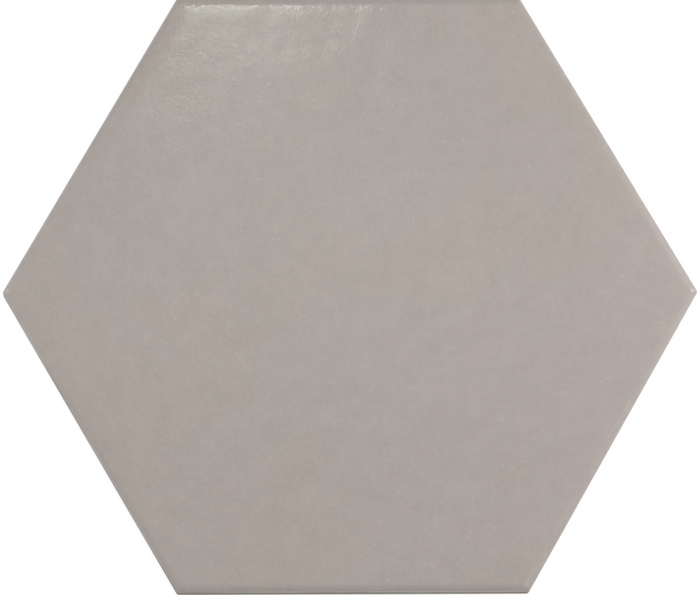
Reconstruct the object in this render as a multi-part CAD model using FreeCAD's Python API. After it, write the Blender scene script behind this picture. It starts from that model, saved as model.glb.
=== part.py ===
"""Hexagonal floor tile of pressed, glazed and fired porcelain stoneware, one solid, in millimetres.

The tile lies glazed face up. The origin is the middle of the plane that it lies on, +Z points up
through the glazed face, and two of the six corners are on the X axis, so one pair of sides runs
along X. Its edge is the section that a tile press leaves: a bevel at the back, an upright land
where the tile was in the die, a wall that draws in towards the face, a full round and a wide
shallow cushion where the glaze runs over. Its back has the press punch's honeycomb key, which
the tile adhesive grips: shallow six-sided cells inside a flat rim, and a flat pad in the middle.
"""

import FreeCAD
import Part

import math
import os

# Outline and thickness
ACROSS_FLATS = 175.0  # between opposite sides, over the upright land
THICKNESS = 9.0  # from the back rim to the flat of the glazed face
CORNER_RADIUS = 1.0  # of the six upright corners, seen from above

# Edge section, from the back to the face
BACK_BEVEL = 1.0  # run and height of the bevel round the back
LAND_HEIGHT = 3.5  # of the upright land above the bevel
WALL_DRAFT_DEG = 4.0  # how far the wall above the land leans in
EDGE_ROUND_RADIUS = 2.6  # between the wall and the cushion
CUSHION_WIDTH = 4.5  # of the band in which the face eases down to the round
CUSHION_DROP = 0.2  # over that band

# Honeycomb key in the back
RIM_WIDTH = 5.5  # least flat width between the bevel and the outermost cells
CELL_RINGS = 6  # rings of cells round the middle of the tile
BLANK_RINGS = 1  # of those places left flat from the middle out, a pad level with the ribs
RIB_WIDTH = 2.4  # between neighbouring cells, at the back plane
CELL_DEPTH = 0.8
CELL_DRAFT_DEG = 30.0  # how far the cell walls lean outwards from upright

# What follows from those
SIDES = 6
TURN_DEG = 360.0 / SIDES
HALF_TURN = math.radians(TURN_DEG / 2)
APOTHEM = ACROSS_FLATS / 2
CIRCUMRADIUS = APOTHEM / math.cos(HALF_TURN)
UP = FreeCAD.Vector(0, 0, 1)
ORIGIN = FreeCAD.Vector(0, 0, 0)


def hexagon(apothem, height, first_corner_deg=0.0):
    """The six corners of a hexagon of that apothem, at that height, counted from that angle."""
    reach = apothem / math.cos(HALF_TURN)
    corners = []
    for side in range(SIDES):
        angle = math.radians(first_corner_deg + side * TURN_DEG)
        corners.append(FreeCAD.Vector(reach * math.cos(angle), reach * math.sin(angle), height))
    return corners


def flat_face(corners):
    """Flat face with those corners."""
    return Part.Face(Part.makePolygon(corners + corners[:1]))


def arc(centre, radius, start_deg, end_deg):
    """Arc in the XZ plane, its angles counted from +X towards +Z, through its middle."""

    def at(angle_deg):
        angle = math.radians(angle_deg)
        return centre + FreeCAD.Vector(radius * math.cos(angle), 0, radius * math.sin(angle))

    return Part.Arc(at(start_deg), at((start_deg + end_deg) / 2), at(end_deg)).toShape()


def edge_section():
    """Face in the XZ plane: the tile's section square to the side that faces +X.

    It runs from the outermost edge back past the far side of the tile. Above the land come the
    drafted wall, the round and the cushion, each tangent to the next.
    """
    land_foot = FreeCAD.Vector(APOTHEM, 0, BACK_BEVEL)
    land_top = FreeCAD.Vector(APOTHEM, 0, BACK_BEVEL + LAND_HEIGHT)

    # The cushion is level at the flat of the face, and its slope at the round is this angle.
    cushion_slope_deg = math.degrees(2 * math.atan(CUSHION_DROP / CUSHION_WIDTH))
    cushion_radius = CUSHION_WIDTH / math.sin(math.radians(cushion_slope_deg))

    # The round is tangent to the cushion above and to the drafted wall below.
    draft = math.radians(WALL_DRAFT_DEG)
    slope = math.radians(cushion_slope_deg)
    round_centre_height = THICKNESS - CUSHION_DROP - EDGE_ROUND_RADIUS * math.cos(slope)
    wall_top_height = round_centre_height + EDGE_ROUND_RADIUS * math.sin(draft)
    wall_top_reach = APOTHEM - (wall_top_height - land_top.z) * math.tan(draft)
    round_centre_reach = wall_top_reach - EDGE_ROUND_RADIUS * math.cos(draft)
    round_centre = FreeCAD.Vector(round_centre_reach, 0, round_centre_height)
    round_top_reach = round_centre_reach + EDGE_ROUND_RADIUS * math.sin(slope)
    flat_reach = round_top_reach - CUSHION_WIDTH
    cushion_centre = FreeCAD.Vector(flat_reach, 0, THICKNESS - cushion_radius)

    wall_top = FreeCAD.Vector(wall_top_reach, 0, wall_top_height)
    flat_edge = FreeCAD.Vector(flat_reach, 0, THICKNESS)
    far_reach = -2 * APOTHEM
    edges = [
        Part.makeLine(FreeCAD.Vector(APOTHEM - BACK_BEVEL, 0, 0), land_foot),
        Part.makeLine(land_foot, land_top),
        Part.makeLine(land_top, wall_top),
        arc(round_centre, EDGE_ROUND_RADIUS, WALL_DRAFT_DEG, 90 - cushion_slope_deg),
        arc(cushion_centre, cushion_radius, 90 - cushion_slope_deg, 90),
        Part.makeLine(flat_edge, FreeCAD.Vector(far_reach, 0, THICKNESS)),
        Part.makeLine(FreeCAD.Vector(far_reach, 0, THICKNESS), FreeCAD.Vector(far_reach, 0, 0)),
        Part.makeLine(FreeCAD.Vector(far_reach, 0, 0), FreeCAD.Vector(APOTHEM - BACK_BEVEL, 0, 0)),
    ]
    return Part.Face(Part.Wire(edges))


def tile_blank():
    """The pressed blank: what is common to the edge section drawn along each of the six sides."""
    length = 4 * CIRCUMRADIUS
    section = edge_section()
    section.translate(FreeCAD.Vector(0, -length / 2, 0))
    slab = section.extrude(FreeCAD.Vector(0, length, 0))
    blank = None
    for side in range(SIDES):
        turned = slab.copy()
        turned.rotate(ORIGIN, UP, (side + 0.5) * TURN_DEG)
        blank = turned if blank is None else blank.common(turned)
    return blank


def round_corners(blank):
    """The blank with its six upright corners rounded, over the whole height of the edge."""
    outline = flat_face(hexagon(APOTHEM, -THICKNESS))
    prism = outline.extrude(UP * (3 * THICKNESS))
    upright = []
    for edge in prism.Edges:
        if abs(edge.tangentAt(edge.FirstParameter).z) > 0.99:
            upright.append(edge)
    return blank.common(prism.makeFillet(CORNER_RADIUS, upright))


def cell_pitch():
    """Distance between cell centres that fills the back up to its rim with whole rings of cells."""
    field_apothem = APOTHEM - BACK_BEVEL - RIM_WIDTH
    # A cell's corner points at the tile's side: row spacing is pitch * cos(30), and the corner of
    # the last row reaches (pitch - rib) / 2 / cos(30) past its centre.
    row_share = CELL_RINGS * math.cos(HALF_TURN)
    corner_share = 0.5 / math.cos(HALF_TURN)
    return (field_apothem + RIB_WIDTH * corner_share) / (row_share + corner_share)


def cell_centres(pitch):
    """Centres of the cells, in rows that run along X, without the flat pad in the middle."""
    row_spacing = pitch * math.cos(HALF_TURN)
    centres = []
    for row in range(-CELL_RINGS, CELL_RINGS + 1):
        count = 2 * CELL_RINGS + 1 - abs(row)
        for place in range(count):
            step = place - (count - 1) / 2
            ring = max(abs(row), abs(step) + abs(row) / 2)
            if ring >= BLANK_RINGS:
                centres.append(FreeCAD.Vector(step * pitch, row * row_spacing, 0))
    return centres


def key_cell(apothem):
    """The space of one cell: a frustum of six flat walls, widest below the back plane."""
    lean = math.tan(math.radians(CELL_DRAFT_DEG))
    below = BACK_BEVEL
    mouth = hexagon(apothem + below * lean, -below, first_corner_deg=TURN_DEG / 2)
    floor = hexagon(apothem - CELL_DEPTH * lean, CELL_DEPTH, first_corner_deg=TURN_DEG / 2)
    faces = [flat_face(mouth), flat_face(floor)]
    for side in range(SIDES):
        after = (side + 1) % SIDES
        faces.append(flat_face([mouth[side], mouth[after], floor[after], floor[side]]))
    return Part.makeSolid(Part.makeShell(faces))


def back_key():
    """All the cells of the honeycomb key, which don't touch each other inside the tile."""
    pitch = cell_pitch()
    cell = key_cell((pitch - RIB_WIDTH) / 2)
    cells = []
    for centre in cell_centres(pitch):
        placed = cell.copy()
        placed.translate(centre)
        cells.append(placed)
    return cells


def hexagon_tile():
    """The whole tile."""
    tile = round_corners(tile_blank())
    tile = tile.cut(back_key())
    return tile.removeSplitter()


def main():
    """Builds the tile, reports its size and writes its file."""
    tile = hexagon_tile()
    solid = tile.Solids[0]
    box = solid.BoundBox
    print(f"solids {len(tile.Solids)}, valid {solid.isValid()}, faces {len(solid.Faces)}")
    print(f"size {box.XLength:.2f} x {box.YLength:.2f} x {box.ZLength:.2f} mm")
    print(f"volume {solid.Volume / 1000:.1f} cm3, cell pitch {cell_pitch():.2f} mm")
    os.makedirs("parts", exist_ok=True)
    solid.exportStep("parts/hexagon_tile.step")


main()
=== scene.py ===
"""Looks of a hexagonal floor tile: a satin grey glaze on a pressed porcelain stoneware body.

The tile lies glazed face up on a pale floor, in metres, in the frame of its CAD model. One closed mesh
stands for its one solid: a face on which the glaze lies in low waves, the pressed edge carried round the
six sides, and the back with its honeycomb key. Its material is glaze above the line where the glaze ends
on the wall, and bare fired body below it.

Places in the plane of the tile are complex numbers, x + iy, so that a turn is a product.
"""

import logging
import math
from dataclasses import dataclass
from enum import Enum
from typing import Union

import bmesh
import bpy
import numpy as np
from mathutils import Euler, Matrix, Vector
from numpy.typing import NDArray


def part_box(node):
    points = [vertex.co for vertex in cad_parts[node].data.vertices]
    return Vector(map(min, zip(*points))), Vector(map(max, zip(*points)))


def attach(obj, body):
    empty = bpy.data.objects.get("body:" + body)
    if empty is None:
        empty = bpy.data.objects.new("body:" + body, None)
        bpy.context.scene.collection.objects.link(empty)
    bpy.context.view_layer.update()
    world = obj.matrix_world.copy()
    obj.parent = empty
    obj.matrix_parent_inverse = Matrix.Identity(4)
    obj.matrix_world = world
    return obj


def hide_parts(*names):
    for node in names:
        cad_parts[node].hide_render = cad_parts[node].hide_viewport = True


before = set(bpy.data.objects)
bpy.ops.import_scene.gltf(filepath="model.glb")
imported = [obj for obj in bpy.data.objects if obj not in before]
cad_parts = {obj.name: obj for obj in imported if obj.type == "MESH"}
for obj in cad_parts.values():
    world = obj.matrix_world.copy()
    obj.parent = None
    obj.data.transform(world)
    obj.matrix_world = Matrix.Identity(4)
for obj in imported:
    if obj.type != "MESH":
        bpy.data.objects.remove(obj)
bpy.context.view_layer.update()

log = logging.getLogger("hexagon_tile")

Array = NDArray[np.float64]
Plane = NDArray[np.complex128]
Colour = tuple[float, float, float]  # linear red, green and blue
Triple = tuple[float, float, float]  # a place, a turn or a stretch, along X, Y and Z
Number = Union["Signal", float]

MM = 0.001
SIDES = 6
TURN = math.tau / SIDES
HALF_TURN = TURN / 2
TILE_NODE = "hexagon_tile"
TILE_BODY = "root"
GLAZE_RISE = "glaze_rise"  # the mesh attribute that holds each vertex's height above the glaze line
WELD = 0.001 * MM  # vertices closer than this are one


class Maths(Enum):
    """The Math node operations that shader expressions use."""

    ADD = "ADD"
    SUBTRACT = "SUBTRACT"
    MULTIPLY = "MULTIPLY"
    DIVIDE = "DIVIDE"
    LESS = "LESS_THAN"
    LARGER = "MAXIMUM"


class Signal:
    """One number in a node tree. Its operators add Math nodes, so shader maths reads as Python."""

    def __init__(self, graph: "Graph", socket: bpy.types.NodeSocket) -> None:
        """Keeps the socket that carries the number and the graph that it is in."""
        self.graph = graph
        self.socket = socket

    def __add__(self, other: Number) -> "Signal":
        """This number plus the other."""
        return self.graph.maths(Maths.ADD, self, other)

    def __sub__(self, other: Number) -> "Signal":
        """This number less the other."""
        return self.graph.maths(Maths.SUBTRACT, self, other)

    def __rsub__(self, other: Number) -> "Signal":
        """The other number less this one."""
        return self.graph.maths(Maths.SUBTRACT, other, self)

    def __mul__(self, other: Number) -> "Signal":
        """This number times the other."""
        return self.graph.maths(Maths.MULTIPLY, self, other)

    def __truediv__(self, other: Number) -> "Signal":
        """This number divided by the other."""
        return self.graph.maths(Maths.DIVIDE, self, other)

    def __lt__(self, other: Number) -> "Signal":
        """1 where this number is under the other, and 0 elsewhere."""
        return self.graph.maths(Maths.LESS, self, other)

    __radd__ = __add__
    __rmul__ = __mul__

    def larger(self, other: Number) -> "Signal":
        """The larger of this number and the other."""
        return self.graph.maths(Maths.LARGER, self, other)

    def rise(self, low: float, high: float) -> "Signal":
        """A smooth step, 3 t ** 2 - 2 t ** 3 where t is the share of the way from low to high.

        Args:
            low: Value up to which it is 0.
            high: Value from which it is 1.

        Returns:
            The step.
        """
        settings = {"interpolation_type": "SMOOTHSTEP"}
        sockets = {"Value": self, "From Min": low, "From Max": high}
        node = self.graph.node("ShaderNodeMapRange", settings, sockets)
        return Signal(self.graph, node.outputs[0])


class Graph:
    """A node tree that is filled by calls."""

    def __init__(self, tree: bpy.types.NodeTree) -> None:
        """Empties the tree and keeps it."""
        tree.nodes.clear()
        self.tree = tree

    def node(self, kind: str, settings: dict[str, object], sockets: dict[object, object]) -> bpy.types.Node:
        """Adds one node.

        Args:
            kind: Type of the node.
            settings: Its properties, set first because some of them choose its sockets.
            sockets: Values or links of its inputs, by name or by place among the inputs in use.

        Returns:
            The new node.
        """
        node = self.tree.nodes.new(kind)
        for name, value in settings.items():
            setattr(node, name, value)
        inputs = [socket for socket in node.inputs if socket.enabled]
        names = [socket.name for socket in inputs]
        for key, value in sockets.items():
            socket = inputs[key if isinstance(key, int) else names.index(key)]
            if isinstance(value, Signal):
                value = value.socket
            if isinstance(value, bpy.types.NodeSocket):
                self.tree.links.new(value, socket)
            else:
                socket.default_value = value
        return node

    def maths(self, operation: Maths, *operands: Number) -> Signal:
        """The result of a Math node on those operands."""
        node = self.node("ShaderNodeMath", {"operation": operation.value}, dict(enumerate(operands)))
        return Signal(self, node.outputs[0])

    def blend(self, share: Number, first: object, second: object) -> bpy.types.NodeSocket:
        """A mix of two colours.

        Args:
            share: How much of the second there is, from 0 to 1.
            first: Colour where the share is 0, as a value or a socket.
            second: Colour where the share is 1, as a value or a socket.

        Returns:
            The mixed colour.
        """
        sockets = {0: share, 1: first, 2: second}
        node = self.node("ShaderNodeMix", {"data_type": "RGBA"}, sockets)
        return next(socket for socket in node.outputs if socket.enabled)

    def places(self) -> bpy.types.NodeSocket:
        """Object coordinates, in metres."""
        return self.node("ShaderNodeTexCoord", {}, {}).outputs["Object"]

    def attribute(self, name: str) -> Signal:
        """The mesh attribute of that name, a number at each vertex."""
        return Signal(self, self.node("ShaderNodeAttribute", {"attribute_name": name}, {}).outputs["Fac"])

    def cloud(self, size: float, detail: float = 2.0, evenness: float = 0.5, swirl: float = 0.0,
              stretch: Triple = (1.0, 1.0, 1.0)) -> Signal:
        """Noise between 0 and 1, about 0.5 on the whole.

        Args:
            size: How wide its largest patches are, in metres.
            detail: How many finer octaves it has.
            evenness: Contrast of each octave as a share of that of the one before.
            swirl: How far its patches are drawn out into worms.
            stretch: How many times wider the patches are along X, Y and Z.

        Returns:
            The noise at each place.
        """
        shrink = tuple(1 / times for times in stretch)
        place = self.node("ShaderNodeMapping", {}, {"Vector": self.places(), "Scale": shrink}).outputs[0]
        sockets = {"Vector": place, "Scale": 1 / size, "Detail": detail}
        sockets |= {"Roughness": evenness, "Distortion": swirl}
        return Signal(self, self.node("ShaderNodeTexNoise", {}, sockets).outputs[0])

    def specks(self, spacing: float, radius: float, share: float, core: float = 0.4) -> Signal:
        """Round specks: 1 inside one and 0 between them, with a soft rim.

        Args:
            spacing: Mean distance between the places where a speck may be, in metres.
            radius: Radius of a speck, in metres.
            share: Share of those places that hold one.
            core: Share of the radius within which it is 1.

        Returns:
            How much of a speck there is at each place.
        """
        sockets = {"Vector": self.places(), "Scale": 1 / spacing}
        cells = self.node("ShaderNodeTexVoronoi", {}, sockets)
        distance = Signal(self, cells.outputs["Distance"])
        draw = self.node("ShaderNodeSeparateColor", {}, {0: cells.outputs["Color"]}).outputs[0]
        edge = radius / spacing  # the texture's distances are in spacings
        return (1 - distance.rise(core * edge, edge)) * (Signal(self, draw) < share)


@dataclass(frozen=True)
class Layer:
    """What a finish gives the shader: its colour, its roughness and its fine relief in metres."""

    colour: bpy.types.NodeSocket
    roughness: Signal
    relief: Signal


def opaque(colour: Colour, level: float = 1.0) -> tuple[float, float, float, float]:
    """The colour times the level, with full opacity."""
    return (*(level * part for part in colour), 1.0)


@dataclass(frozen=True)
class GlazeFinish:
    """Satin grey glaze: faintly clouded and mottled, with painted glints as pale pinpricks, a soft orange
    peel and tiny nibs.
    """

    colour: Colour = (0.432, 0.38, 0.344)
    cool: Colour = (0.434, 0.373, 0.40)  # towards which the colour drifts
    drift_size: float = 55 * MM
    drift: float = 0.16  # how far it goes there at the most
    drift_span: tuple[float, float] = (0.36, 0.64)  # of the noise, from no drift to all of it
    cloud_size: float = 26 * MM
    cloud_part: float = 0.12  # of the tone. The rest is mottle
    mottle_size: float = 7 * MM
    contrast: float = 0.1  # how far the colour goes up and down from its mean
    roughness: float = 0.13
    satin_size: float = 1.5 * MM
    satin_spread: float = 0.06  # how far the roughness goes up and down, from one patch to another
    peel_size: float = 1.4 * MM
    peel_height: float = 0.044 * MM
    peel_swirl: float = 1.3
    nib_spacing: float = 2.6 * MM
    nib_radius: float = 0.35 * MM
    nib_share: float = 0.3  # of the places where a nib may be
    nib_height: float = 0.02 * MM
    nib_painted_highlight: float = 0.15  # how much paler a nib is painted: a painted highlight on the bump
    painted_glint_colour: Colour = (0.7, 0.67, 0.63)  # of the sparse pale pinpricks, which are painted glints: pale dots that stand in for light caught on tiny bumps
    painted_glint_spacing: float = 3.0 * MM
    painted_glint_radius: float = 0.3 * MM
    painted_glint_share: float = 0.5
    painted_glint_strength: float = 0.45

    def layer(self, graph: Graph) -> Layer:
        """Builds the finish.

        The tone is mostly a mottle with the same contrast in each octave from its size down to the grain,
        and some slow cloud. The hue drifts slowly over the face, and sparse pale pinpricks are painted
        glints that stand in for light on tiny bumps. The relief is the sum of the peel and the nibs, and the
        nibs are painted a little paler, a painted highlight on each bump. The satin is a little rougher in
        some patches than in others.

        Args:
            graph: Node tree to build it in.

        Returns:
            Its colour, roughness and relief.
        """
        cloud = graph.cloud(self.cloud_size, detail=1.0)
        mottle = graph.cloud(self.mottle_size, detail=5.0, evenness=1.0)
        tone = self.cloud_part * cloud + (1 - self.cloud_part) * mottle
        dark = opaque(self.colour, 1 - 2 * self.contrast)
        pale = opaque(self.colour, 1 + 2 * self.contrast)
        nibs = graph.specks(self.nib_spacing, self.nib_radius, self.nib_share)
        # the nibs are real bumps, and their colour is painted paler as a painted highlight on each
        colour = graph.blend(tone + self.nib_painted_highlight * nibs, dark, pale)
        drift = graph.cloud(self.drift_size, detail=3.0).rise(*self.drift_span)
        colour = graph.blend(self.drift * drift, colour, opaque(self.cool))
        # painted glints: sparse pale dots that stand in for light caught on tiny bumps of the glaze
        painted_glints = graph.specks(self.painted_glint_spacing, self.painted_glint_radius, self.painted_glint_share)
        colour = graph.blend(self.painted_glint_strength * painted_glints, colour, opaque(self.painted_glint_colour))
        peel = graph.cloud(self.peel_size, detail=1.0, evenness=0.6, swirl=self.peel_swirl)
        relief = self.peel_height * peel + self.nib_height * nibs
        satin = graph.cloud(self.satin_size, detail=1.0, evenness=0.8)
        roughness = self.roughness + self.satin_spread * (satin - 0.5)
        return Layer(colour, roughness, relief)


@dataclass(frozen=True)
class BodyFinish:
    """Bare fired body: dry and sandy, darker than the glaze, with iron specks and a dusting of engobe."""

    colour: Colour = (0.335, 0.294, 0.258)
    engobe: Colour = (0.62, 0.59, 0.55)
    iron: Colour = (0.20, 0.14, 0.10)
    contrast: float = 0.06
    roughness: float = 0.82
    roughness_spread: float = 0.1
    cloud_size: float = 9 * MM
    cloud_part: float = 0.5  # of the tone. The rest is sand
    sand_size: float = 0.35 * MM
    sand_height: float = 0.03 * MM
    iron_spacing: float = 1.6 * MM
    iron_radius: float = 0.2 * MM
    iron_share: float = 0.3  # of the places where a speck may be
    iron_strength: float = 0.7
    dust_span: tuple[float, float] = (0.075 * MM, 0.25 * MM)  # above the back plane, from all to none
    dust_strength: float = 0.75
    streak_width: float = 3 * MM
    streak_length: float = 9.0  # in widths
    streak_span: tuple[float, float] = (0.38, 0.62)  # of the noise, from bare to dusted

    def layer(self, graph: Graph, height: Signal) -> Layer:
        """Builds the finish.

        The engobe lies on the ribs and the rim of the back, in streaks along X, as the kiln's rollers
        wiped it.

        Args:
            graph: Node tree to build it in.
            height: Height above the back plane, in metres.

        Returns:
            Its colour, roughness and relief.
        """
        cloud = graph.cloud(self.cloud_size)
        sand = graph.cloud(self.sand_size, detail=3.0)
        tone = self.cloud_part * cloud + (1 - self.cloud_part) * sand
        dark = opaque(self.colour, 1 - 2 * self.contrast)
        pale = opaque(self.colour, 1 + 2 * self.contrast)
        colour = graph.blend(tone, dark, pale)
        specks = graph.specks(self.iron_spacing, self.iron_radius, self.iron_share)
        colour = graph.blend(self.iron_strength * specks, colour, opaque(self.iron))
        streaks = graph.cloud(self.streak_width, detail=3.0, stretch=(self.streak_length, 1.0, 1.0))
        low = 1 - height.rise(*self.dust_span)
        dusting = low * streaks.rise(*self.streak_span) * self.dust_strength
        colour = graph.blend(dusting, colour, opaque(self.engobe))
        roughness = self.roughness + self.roughness_spread * (cloud - 0.5)
        relief = self.sand_height * sand
        return Layer(colour, roughness, relief)


@dataclass(frozen=True)
class TileFinish:
    """The tile's one material: glaze above the glaze line and body below it."""

    glaze: GlazeFinish = GlazeFinish()
    body: BodyFinish = BodyFinish()
    line_blur: float = 0.12 * MM  # over which the glaze thins out at its line
    line_fray: float = 0.5 * MM  # how far the line frays up and down
    fray_size: float = 1.5 * MM
    dryness: float = 0.35  # how much rougher the glaze is where it is thin, just above its line
    dry_height: float = 2.5 * MM  # above the line, where it is as smooth as on the face

    def material(self, name: str) -> bpy.types.Material:
        """Builds the material.

        Args:
            name: Name of the material.

        Returns:
            The material, whose shader is one Principled BSDF with a bump.
        """
        material = bpy.data.materials.new(name)
        material.use_nodes = True
        graph = Graph(material.node_tree)
        height = Signal(graph, graph.node("ShaderNodeSeparateXYZ", {}, {0: graph.places()}).outputs["Z"])
        glaze = self.glaze.layer(graph)
        body = self.body.layer(graph, height)
        fray = self.line_fray * (graph.cloud(self.fray_size, detail=3.0) - 0.5)
        rise = graph.attribute(GLAZE_RISE)
        glazed = (rise + fray).rise(-self.line_blur, self.line_blur)
        glaze_roughness = glaze.roughness + self.dryness * (1 - rise.rise(0.0, self.dry_height))
        relief = body.relief + glazed * (glaze.relief - body.relief)
        bump = graph.node("ShaderNodeBump", {}, {"Distance": 1.0, "Height": relief})
        sockets = {
            "Base Color": graph.blend(glazed, body.colour, glaze.colour),
            "Roughness": body.roughness + glazed * (glaze_roughness - body.roughness),
            "Normal": bump.outputs[0],
        }
        shader = graph.node("ShaderNodeBsdfPrincipled", {}, sockets)
        graph.node("ShaderNodeOutputMaterial", {}, {"Surface": shader.outputs[0]})
        return material


@dataclass(frozen=True)
class Patch:
    """A piece of surface: its vertices and its faces, the faces in groups of as many corners each."""

    points: Array
    faces: tuple[NDArray[np.int64], ...]

    def joined(self, other: "Patch") -> "Patch":
        """This patch and the other as one."""
        shifted = tuple(group + len(self.points) for group in other.faces)
        return Patch(np.concatenate([self.points, other.points]), self.faces + shifted)


def lifted(plane: Plane, height: Array) -> Array:
    """Rows of x, y and z from places in the plane and heights."""
    height = np.broadcast_to(height, plane.shape)
    return np.stack([plane.real, plane.imag, height], axis=-1).reshape(-1, 3)


def grid_faces(index: NDArray[np.int64]) -> NDArray[np.int64]:
    """Faces of four corners over the last two axes of a grid of vertex numbers."""
    corners = [index[..., :-1, :-1], index[..., 1:, :-1], index[..., 1:, 1:], index[..., :-1, 1:]]
    return np.stack(corners, axis=-1).reshape(-1, 4)


def hexagon_ring(reach: Array, corner: Array, share: Array, crowding: float) -> Plane:
    """Places on hexagons with rounded corners, the first corner on +X.

    In the frame of a side, a ring runs straight up to h = (reach - corner) tan 30 each way from the side's
    middle, and then round an arc of the corner's radius about (reach - corner) + ih. The length from the
    middle is the half length, h + corner * 30 degrees, times 1 - (1 - |q|) ** crowding, where q goes from
    -1 to 1 over the side, so that a crowding over 1 draws the places towards the corners.

    Args:
        reach: Distance from the middle to the sides of each ring.
        corner: Radius of each ring's corners.
        share: Number of the side plus the share of it that is passed, from 0 to 6.
        crowding: How much the places crowd at the corners.

    Returns:
        The places, of the shape that the arguments broadcast to.
    """
    side = np.minimum(np.floor(share), SIDES - 1)
    q = 2 * (share - side) - 1
    straight = (reach - corner) * math.tan(HALF_TURN)
    half = straight + corner * HALF_TURN
    length = half * (1 - (1 - np.abs(q)) ** crowding)
    angle = np.maximum(length - straight, 0) / corner
    x = reach - corner + corner * np.cos(angle)
    y = np.minimum(length, straight) + corner * np.sin(angle)
    return (x + 1j * np.sign(q) * y) * np.exp(1j * TURN * (side + 0.5))


def rounded_path(points: Plane, radius: float, steps: int) -> Plane:
    """A path of straight runs with its inner corners rounded by tangent arcs.

    Where the path turns by an angle t from direction a, the arc starts radius * tan(|t| / 2) before the
    corner, at p, and its places are p + c - c exp(i t k), where c = i sign(t) a radius and k goes from 0
    to 1.

    Args:
        points: Ends and corners of the path.
        radius: Radius of the arcs.
        steps: Steps in each arc.

    Returns:
        The first end, the places on each arc in turn, and the last end.
    """
    way = np.diff(points) / np.abs(np.diff(points))
    turn = np.angle(way[1:] / way[:-1])
    start = points[1:-1] - way[:-1] * radius * np.tan(np.abs(turn) / 2)
    arm = 1j * np.sign(turn) * way[:-1] * radius
    share = np.linspace(0, 1, steps + 1)
    arcs = (start + arm)[:, None] - arm[:, None] * np.exp(1j * turn[:, None] * share)
    return np.concatenate([points[:1], arcs.ravel(), points[-1:]])


def wave_sum(plane: Plane, rng: np.random.Generator, shortest: float, longest: float, count: int,
             heading: float = 0.0, spread: float = math.pi) -> Array:
    """A random field made of plane waves, of about unit slope on the whole.

    It is the sum over the waves of (length / 2 pi) cos(k . p + phase) sqrt(2 / count), where k has the
    size 2 pi / length. The lengths are drawn evenly in their logarithm.

    Args:
        plane: Places at which it is worked out.
        rng: Generator that draws the waves.
        shortest: Shortest wavelength.
        longest: Longest wavelength.
        count: Number of waves.
        heading: Middle of the directions in which the waves run.
        spread: How far they turn from it each way.

    Returns:
        The field, of the same shape as the places.
    """
    lengths = np.exp(rng.uniform(math.log(shortest), math.log(longest), count))
    headings = heading + rng.uniform(-spread, spread, count)
    phases = rng.uniform(0, math.tau, count)
    field = np.zeros(plane.shape)
    for length, direction, phase in zip(lengths, headings, phases):
        along = (plane * np.exp(-1j * direction)).real
        field += length / math.tau * np.cos(math.tau * along / length + phase)
    return field * math.sqrt(2 / count)


@dataclass(frozen=True)
class GlazeWaves:
    """The low waves in which the glaze lies on the face, and the line where it ends on the wall."""

    shortest: float = 4 * MM
    longest: float = 34 * MM
    slope: float = math.radians(0.75)
    heading: float = math.radians(125)  # across the streaks, which rise to the right
    spread: float = math.radians(55)
    count: int = 60
    seed: int = 17
    line_height: float = 5.5 * MM
    line_sway: float = 0.25 * MM
    line_shortest: float = 7 * MM
    line_longest: float = 45 * MM
    line_count: int = 24
    line_seed: int = 5
    line_scale: float = 4 * MM  # typical size of the sum of the line's waves at unit slope
    thickness: float = 0.07 * MM  # of the glaze where it ends
    roll: float = 0.45 * MM  # height over which it swells to that thickness

    def height(self, plane: Plane) -> Array:
        """Height of the waves about their mean, in metres: a sum of plane waves times their slope."""
        rng = np.random.default_rng(self.seed)
        return self.slope * wave_sum(
            plane, rng, self.shortest, self.longest, self.count, self.heading, self.spread
        )

    def line(self, plane: Plane) -> Array:
        """The glaze line: its mean height plus a slow sum of plane waves.

        Args:
            plane: Places on or near the wall.

        Returns:
            The line's height over each place.
        """
        rng = np.random.default_rng(self.line_seed)
        sway = wave_sum(plane, rng, self.line_shortest, self.line_longest, self.line_count)
        return self.line_height + self.line_sway * sway / self.line_scale

    def swell(self, rise: Array) -> Array:
        """How far the glaze stands out of the wall, at that rise above its line, as a smooth step."""
        share = np.clip(rise / self.roll, 0, 1)
        return self.thickness * share * share * (3 - 2 * share)


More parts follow.
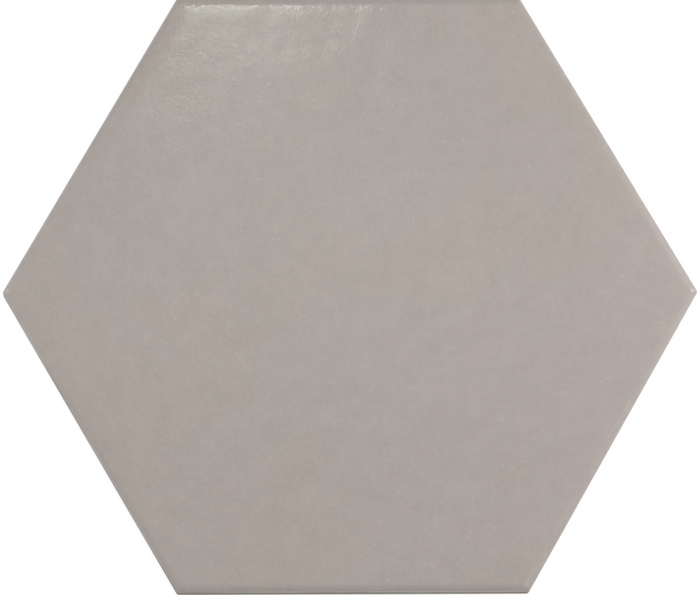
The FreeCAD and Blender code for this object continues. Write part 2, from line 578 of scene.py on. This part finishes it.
@dataclass(frozen=True)
class EdgeSection:
    """The pressed edge in section, square to a side: i times the height plus the reach from the middle."""

    reach: float  # of the upright land
    thickness: float
    back_bevel: float = 1.0 * MM
    land_height: float = 3.5 * MM
    wall_draft: float = math.radians(4.0)
    round_radius: float = 2.6 * MM
    cushion_width: float = 4.5 * MM
    cushion_drop: float = 0.2 * MM
    arris_radius: float = 0.25 * MM  # of the edges at the land and the back
    rim_shoulder: float = 0.8 * MM  # flat row of the back inside its edge
    corner_radius: float = 1.0 * MM  # of the upright corners
    mitre_radius: float = 2.6 * MM  # of the same corners where the cushion meets the flat
    cushion_steps: int = 5
    round_steps: int = 10
    wall_steps: int = 6
    arris_steps: int = 2

    @property
    def slope(self) -> float:
        """Slope of the cushion at the round, of an arc that is level at the flat of the face."""
        return 2 * math.atan(self.cushion_drop / self.cushion_width)

    @property
    def round_centre(self) -> complex:
        """Centre of the round, which is tangent to the cushion above and to the drafted wall below.

        Returns:
            Its reach plus i times its height.
        """
        height = self.thickness - self.cushion_drop - self.round_radius * math.cos(self.slope)
        wall_top = height + self.round_radius * math.sin(self.wall_draft)
        lean = (wall_top - self.back_bevel - self.land_height) * math.tan(self.wall_draft)
        return self.reach - lean - self.round_radius * math.cos(self.wall_draft) + 1j * height

    @property
    def flat_reach(self) -> float:
        """Reach of the flat of the face, where the cushion starts."""
        return self.round_centre.real + self.round_radius * math.sin(self.slope) - self.cushion_width

    def rows(self) -> Plane:
        """Rows of the section from the flat of the face to the flat of the back.

        The cushion is an arc of radius width / sin(slope), and the round an arc from the cushion's slope to
        the wall's draft. The wall is straight. The land and the bevel are straight too, with small arcs at
        the bevel's two edges.

        Returns:
            The rows, from the innermost of the face to the innermost of the back.
        """
        level = math.pi / 2
        radius = self.cushion_width / math.sin(self.slope)
        falls = np.linspace(level, level - self.slope, self.cushion_steps + 1)
        cushion = self.flat_reach + 1j * (self.thickness - radius) + radius * np.exp(1j * falls)
        turns = np.linspace(level - self.slope, self.wall_draft, self.round_steps + 1)
        edge = self.round_centre + self.round_radius * np.exp(1j * turns)
        land_top = self.reach + 1j * (self.back_bevel + self.land_height)
        wall = edge[-1] + (land_top - edge[-1]) * np.linspace(0, 1, self.wall_steps + 1)
        bevel_top = self.reach + 1j * self.back_bevel
        bevel_foot = self.reach - self.back_bevel
        lower = np.array([land_top, bevel_top, bevel_foot, bevel_foot - self.rim_shoulder])
        lower = rounded_path(lower, self.arris_radius, self.arris_steps)
        return np.concatenate([cushion, edge[1:], wall[1:], lower[1:]])

    def corners(self, rows: Plane) -> Array:
        """Corner radii, which grow inwards over the round and the cushion.

        Above the round's centre a row's radius is the upright corner's plus the mitre's excess over it
        times the share of the way in, from the outermost reach to the flat of the face. Below, it is the
        upright corner's.

        Args:
            rows: Rows of the section.

        Returns:
            The corner radius of each row.
        """
        inwards = np.clip((self.reach - rows.real) / (self.reach - self.flat_reach), 0, 1)
        above = rows.imag > self.round_centre.imag
        return self.corner_radius + above * inwards * (self.mitre_radius - self.corner_radius)


@dataclass(frozen=True)
class HoneycombKey:
    """The honeycomb that the press leaves in the back: shallow cells with ribs between them."""

    field_reach: float  # of the field of cells, from the middle of the tile
    rings: int = 6
    blank_rings: int = 1  # of cells left flat, a pad in the middle
    rib: float = 2.4 * MM
    depth: float = 0.8 * MM
    draft: float = math.radians(30)
    edge_radius: float = 0.3 * MM
    floor_corner: float = 0.7 * MM
    mouth_corner: float = 1.1 * MM
    crowding: float = 3.0
    edge_steps: int = 2  # in each rounded edge
    steps: int = 4  # on each side of a cell

    @property
    def pitch(self) -> float:
        """Distance between cells: rings rows of pitch cos 30 and the last cell's corner fill the field.

        Returns:
            The distance from centre to centre.
        """
        rows = self.rings * math.cos(HALF_TURN)
        corner = 0.5 / math.cos(HALF_TURN)
        return (self.field_reach + self.rib * corner) / (rows + corner)

    def cells(self) -> tuple[Plane, Array]:
        """Places of the cells: pitch (a + b exp(i 60 degrees)) for whole numbers a and b.

        The ring that a place is on is the largest of |a|, |b| and |a + b|.

        Returns:
            The centres, and for each of them 1 if its cell is sunk or 0 if it is left flat.
        """
        steps = np.arange(-self.rings, self.rings + 1)
        a, b = (part.ravel() for part in np.meshgrid(steps, steps))
        ring = np.maximum(np.maximum(np.abs(a), np.abs(b)), np.abs(a + b))
        inside = ring <= self.rings
        centres = self.pitch * (a + b * np.exp(1j * TURN))
        return centres[inside], (ring[inside] >= self.blank_rings).astype(float)

    def patch(self) -> Patch:
        """The field of cells.

        One cell is rings of a rounded hexagon, from half-way out on its floor, along its wall and over to
        the middle of the rib, where the rings are sharp hexagons that meet the neighbours'. The same rings
        stand round every centre, and the floor inside the innermost is one flat face.

        Returns:
            The cells, the flat ones of the pad in the middle among them.
        """
        lean = self.depth * math.tan(self.draft)
        mouth = (self.pitch - self.rib) / 2
        middle = self.pitch / 2
        inner = mouth / 2
        corners = np.array([inner + 1j * self.depth, mouth - lean + 1j * self.depth, mouth, middle])
        rows = rounded_path(corners, self.edge_radius, self.edge_steps)
        radii = np.interp(
            rows.real,
            [inner, mouth - lean, mouth + self.edge_radius, middle],
            [self.floor_corner, self.floor_corner, self.mouth_corner, WELD],
        )
        share = np.arange(SIDES * self.steps) / self.steps
        ring = hexagon_ring(rows.real[:, None], radii[:, None], share, self.crowding)
        centres, sunk = self.cells()
        plane = centres[:, None, None] + ring * np.exp(1j * HALF_TURN)
        height = sunk[:, None, None] * rows.imag[:, None]
        index = np.arange(plane.size).reshape(plane.shape)
        closed = np.concatenate([index, index[..., :1]], axis=-1)
        return Patch(lifted(plane, height), (grid_faces(closed)[:, ::-1], index[:, 0, ::-1]))


@dataclass(frozen=True)
class TileMesh:
    """The whole tile as one closed mesh."""

    reach: float  # from the middle to the sides
    thickness: float
    rim_width: float = 5.5 * MM  # of the back, between the bevel and the field of cells
    steps: int = 128  # along each side
    crowding: float = 1.5  # of the steps at the corners
    crest_steps: int = 241  # of the grid on which the highest wave is looked for
    crest_span: float = 1.2  # half of that grid's width, in reaches, which takes in the corners
    waves: GlazeWaves = GlazeWaves()

    @property
    def section(self) -> EdgeSection:
        """The edge in section."""
        return EdgeSection(self.reach, self.thickness)

    @property
    def key(self) -> HoneycombKey:
        """The honeycomb of the back, inside its rim."""
        return HoneycombKey(self.reach - self.section.back_bevel - self.rim_width)

    def face(self) -> Patch:
        """The flat of the face: three rhombic grids that meet at the middle.

        A rhombus has its u and v along two corners 120 degrees apart. The larger of them is the share of the
        way out, and the smaller divided by the larger the share of the side.

        Returns:
            The three grids.
        """
        steps = np.linspace(0, 1, self.steps + 1)
        u, v = np.meshgrid(steps, steps, indexing="ij")
        out = np.maximum(u, v)
        along = np.minimum(u, v) / np.maximum(out, 1e-9)
        share = np.where(u >= v, along, 2 - along) + 2 * np.arange(3)[:, None, None]
        reach, corner = self.section.flat_reach, self.section.mitre_radius
        plane = out * hexagon_ring(reach, corner, share, self.crowding)
        index = np.arange(plane.size).reshape(plane.shape)
        return Patch(lifted(plane, self.face_height(plane)), (grid_faces(index),))

    def face_height(self, plane: Plane) -> Array:
        """Height of the glazed face: its waves, lowered so that their crests reach the thickness."""
        return self.thickness + self.waves.height(plane) - self.crest

    @property
    def crest(self) -> float:
        """Height of the highest wave over a grid of places that covers the tile, and a hair more."""
        steps = np.linspace(-self.crest_span, self.crest_span, self.crest_steps) * self.reach
        return float(self.waves.height(steps[:, None] + 1j * steps).max()) + 3 * WELD

    def edge(self) -> Patch:
        """The edge: the section's rows carried round the rounded hexagon.

        The face's waves die out over the round, and the wall stands out by the glaze's thickness above
        the glaze line. Over the round that swell is scaled by the square root of 1 - (rise / radius) ** 2.

        Returns:
            The closed band of rows.
        """
        section = self.section
        rows = section.rows()[:, None]
        corner = section.corners(rows)
        share = np.arange(SIDES * self.steps) / self.steps
        plane = hexagon_ring(rows.real, corner, share, self.crowding)
        on_wall = rows.imag < self.thickness - section.cushion_drop
        swell = self.waves.swell(rows.imag - self.waves.line(plane)) * on_wall
        level = section.round_centre.imag
        rise = np.maximum(rows.imag - level, 0)
        upright = np.sqrt(np.clip(1 - (rise / section.round_radius) ** 2, 0, 1))
        plane = hexagon_ring(rows.real + swell * upright, corner, share, self.crowding)
        fade = np.clip((rows.imag - level) / (self.thickness - level), 0, 1)
        height = rows.imag + fade * (self.face_height(plane) - self.thickness)
        index = np.arange(plane.size).reshape(plane.shape)
        closed = np.concatenate([index, index[:, :1]], axis=1)
        return Patch(lifted(plane, height), (grid_faces(closed),))

    def build(self, name: str) -> bpy.types.Object:
        """Joins the parts of the surface into one closed mesh, and marks the glaze line on it.

        Args:
            name: Name of the object.

        Returns:
            The tile's object, at the origin.
        """
        patch = self.face().joined(self.edge()).joined(self.key.patch())
        faces = [corners for group in patch.faces for corners in group.tolist()]
        mesh = bpy.data.meshes.new(name)
        mesh.from_pydata(patch.points.tolist(), [], faces)
        shape = bmesh.new()
        shape.from_mesh(mesh)
        bmesh.ops.remove_doubles(shape, verts=shape.verts, dist=WELD)
        rim = [edge for edge in shape.edges if edge.is_boundary]
        bmesh.ops.triangle_fill(shape, use_beauty=True, edges=rim, normal=(0, 0, -1))
        bmesh.ops.recalc_face_normals(shape, faces=shape.faces)
        shape.to_mesh(mesh)
        shape.free()
        mesh.shade_smooth()
        self.mark(mesh)
        tile = bpy.data.objects.new(name, mesh)
        bpy.context.scene.collection.objects.link(tile)
        return tile

    def mark(self, mesh: bpy.types.Mesh) -> None:
        """Writes each vertex's height above the glaze line, which the material reads.

        Args:
            mesh: The tile's mesh, which gets the heights as an attribute.
        """
        points = np.empty(3 * len(mesh.vertices))
        mesh.vertices.foreach_get("co", points)
        x, y, z = points.reshape(-1, 3).T
        rise = z - self.waves.line(x + 1j * y)
        layer = mesh.attributes.new(GLAZE_RISE, "FLOAT", "POINT")
        layer.data.foreach_set("value", rise.astype(np.float32))


@dataclass(frozen=True)
class HexagonTile:
    """The tile: its mesh, its material and its place in the frame."""

    name: str = "glazed_tile"
    finish: TileFinish = TileFinish()

    def build(self) -> bpy.types.Object:
        """Makes the tile and puts it in the frame.

        Returns:
            The tile's object.
        """
        low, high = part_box(TILE_NODE)
        tile = TileMesh(reach=(high[1] - low[1]) / 2, thickness=high[2] - low[2]).build(self.name)
        tile.data.materials.append(self.finish.material("satin_glaze_on_stoneware"))
        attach(tile, TILE_BODY)
        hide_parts(TILE_NODE)
        log.info("%s: %d vertices, %d faces", tile.name, len(tile.data.vertices), len(tile.data.polygons))
        return tile


@dataclass(frozen=True)
class SoftBox:
    """A rectangular soft lamp that looks at a point of the tile."""

    name: str
    place: Triple
    size: tuple[float, float]
    brightness: float  # of its face, where 1 is white
    tint: Colour = (1.0, 1.0, 1.0)
    aim: Triple = (0.0, 0.0, 0.0)

    def build(self) -> bpy.types.Object:
        """Makes the lamp. A face of area a and radiance b sends out pi * a * b watts.

        Returns:
            The lamp's object, which the camera doesn't see.
        """
        data = bpy.data.lights.new(self.name, "AREA")
        data.shape = "RECTANGLE"
        data.size, data.size_y = self.size
        data.energy = math.pi * self.size[0] * self.size[1] * self.brightness
        data.color = self.tint
        lamp = bpy.data.objects.new(self.name, data)
        lamp.location = self.place
        lamp.rotation_euler = (Vector(self.aim) - Vector(self.place)).to_track_quat("-Z", "Y").to_euler()
        lamp.visible_camera = False
        bpy.context.scene.collection.objects.link(lamp)
        log.info("lamp %s", self.name)
        return lamp


@dataclass(frozen=True)
class Studio:
    """A pale floor, white surroundings and soft lamps."""

    floor_half: float = 3.0
    floor_colour: Colour = (0.3, 0.3, 0.3)
    floor_lift: float = 0.84  # added where the floor is seen, so that it renders white
    sky: float = 0.535  # brightness of the surroundings as light on the tile
    lamps: tuple[SoftBox, ...] = (
        SoftBox("window_low", (-0.031, 0.400, 0.736), (0.086, 0.07), 9.9, (0.88, 1.0, 0.86)),
        SoftBox("window_high", (-0.031, 0.311, 0.768), (0.086, 0.12), 3.4, (0.88, 1.0, 0.86)),
        SoftBox("bank_overhead", (0.02, 0.24, 1.2), (0.2, 0.15), 0.85),
        SoftBox("panel_right", (0.31, 0.05, 0.11), (0.14, 0.2), 3.4),
        SoftBox("panel_right_behind", (0.27, 0.10, 0.20), (0.14, 0.22), 0.9),
        SoftBox("panel_right_front", (0.5, -0.52, 0.8), (0.52, 0.52), 2.3),
        SoftBox("panel_left", (-0.33, 0.04, 0.10), (0.16, 0.19), 2.3),
        SoftBox("panel_left_far", (-0.8, 0.1, 0.5), (0.4, 0.4), 0.65),
    )

    def build(self) -> None:
        """Makes the floor, the world and the lamps."""
        self.floor()
        self.world()
        for lamp in self.lamps:
            lamp.build()

    def seen(self, graph: Graph) -> Signal:
        """Tells the rays that show a thing from those that light the tile by it.

        Args:
            graph: Node tree to build it in.

        Returns:
            1 for rays from the camera and for mirrored or refracted rays, and 0 for others.
        """
        path = graph.node("ShaderNodeLightPath", {}, {})
        kinds = ("Camera", "Glossy", "Transmission")
        camera, glossy, transmission = (Signal(graph, path.outputs[f"Is {kind} Ray"]) for kind in kinds)
        return camera.larger(glossy).larger(transmission)

    def floor(self) -> None:
        """A square floor. It is lifted to white where it is seen, and keeps the tile's shadow."""
        half = self.floor_half
        corners = half * np.array([[-1, -1, 0], [1, -1, 0], [1, 1, 0], [-1, 1, 0]])
        mesh = bpy.data.meshes.new("floor")
        mesh.from_pydata(corners.tolist(), [], [(0, 1, 2, 3)])
        material = bpy.data.materials.new("pale_paper")
        material.use_nodes = True
        graph = Graph(material.node_tree)
        paper = graph.node("ShaderNodeBsdfDiffuse", {}, {"Color": opaque(self.floor_colour)})
        glow = graph.node("ShaderNodeEmission", {}, {"Strength": self.floor_lift * self.seen(graph)})
        both = graph.node("ShaderNodeAddShader", {}, {0: paper.outputs[0], 1: glow.outputs[0]})
        graph.node("ShaderNodeOutputMaterial", {}, {"Surface": both.outputs[0]})
        mesh.materials.append(material)
        floor = bpy.data.objects.new("floor", mesh)
        bpy.context.scene.collection.objects.link(floor)
        log.info("floor")

    def world(self) -> None:
        """Even surroundings: white where they are seen, and at the sky's level as light."""
        world = bpy.data.worlds.new("surroundings")
        world.use_nodes = True
        graph = Graph(world.node_tree)
        level = self.sky + (1 - self.sky) * self.seen(graph)
        white = opaque((1.0, 1.0, 1.0))
        light = graph.node("ShaderNodeBackground", {}, {"Color": white, "Strength": level})
        graph.node("ShaderNodeOutputWorld", {}, {"Surface": light.outputs[0]})
        bpy.context.scene.world = world


@dataclass(frozen=True)
class PhotoCamera:
    """The photograph's camera: a long lens that looks down on the tile, a little from its front."""

    lens: float = 225.0  # in millimetres, as is the width of the sensor
    sensor: float = 36.0
    distance: float = 1276.2 * MM
    aim: Triple = (-0.1 * MM, -0.47 * MM, 0.0)
    tilt: Triple = (math.radians(10.15), math.radians(-2.23), math.radians(-0.46))

    def build(self) -> bpy.types.Object:
        """Makes the camera. With no tilt it would look straight down with +Y up in the picture.

        Returns:
            The camera, which is the scene's camera.
        """
        data = bpy.data.cameras.new("camera")
        data.lens = self.lens
        data.sensor_width = self.sensor
        camera = bpy.data.objects.new("camera", data)
        turn = Euler(self.tilt, "XYZ")
        camera.rotation_euler = turn
        camera.location = Vector(self.aim) + turn.to_matrix() @ Vector((0.0, 0.0, self.distance))
        bpy.context.scene.collection.objects.link(camera)
        bpy.context.scene.camera = camera
        log.info("camera at %s", tuple(round(part, 3) for part in camera.location))
        return camera


def main() -> None:
    """Builds the tile, the studio and the camera."""
    logging.basicConfig(level=logging.INFO, format="%(name)s: %(message)s")
    bpy.context.scene.view_settings.view_transform = "Standard"
    HexagonTile().build()
    Studio().build()
    PhotoCamera().build()


if __name__ == "__main__":
    main()
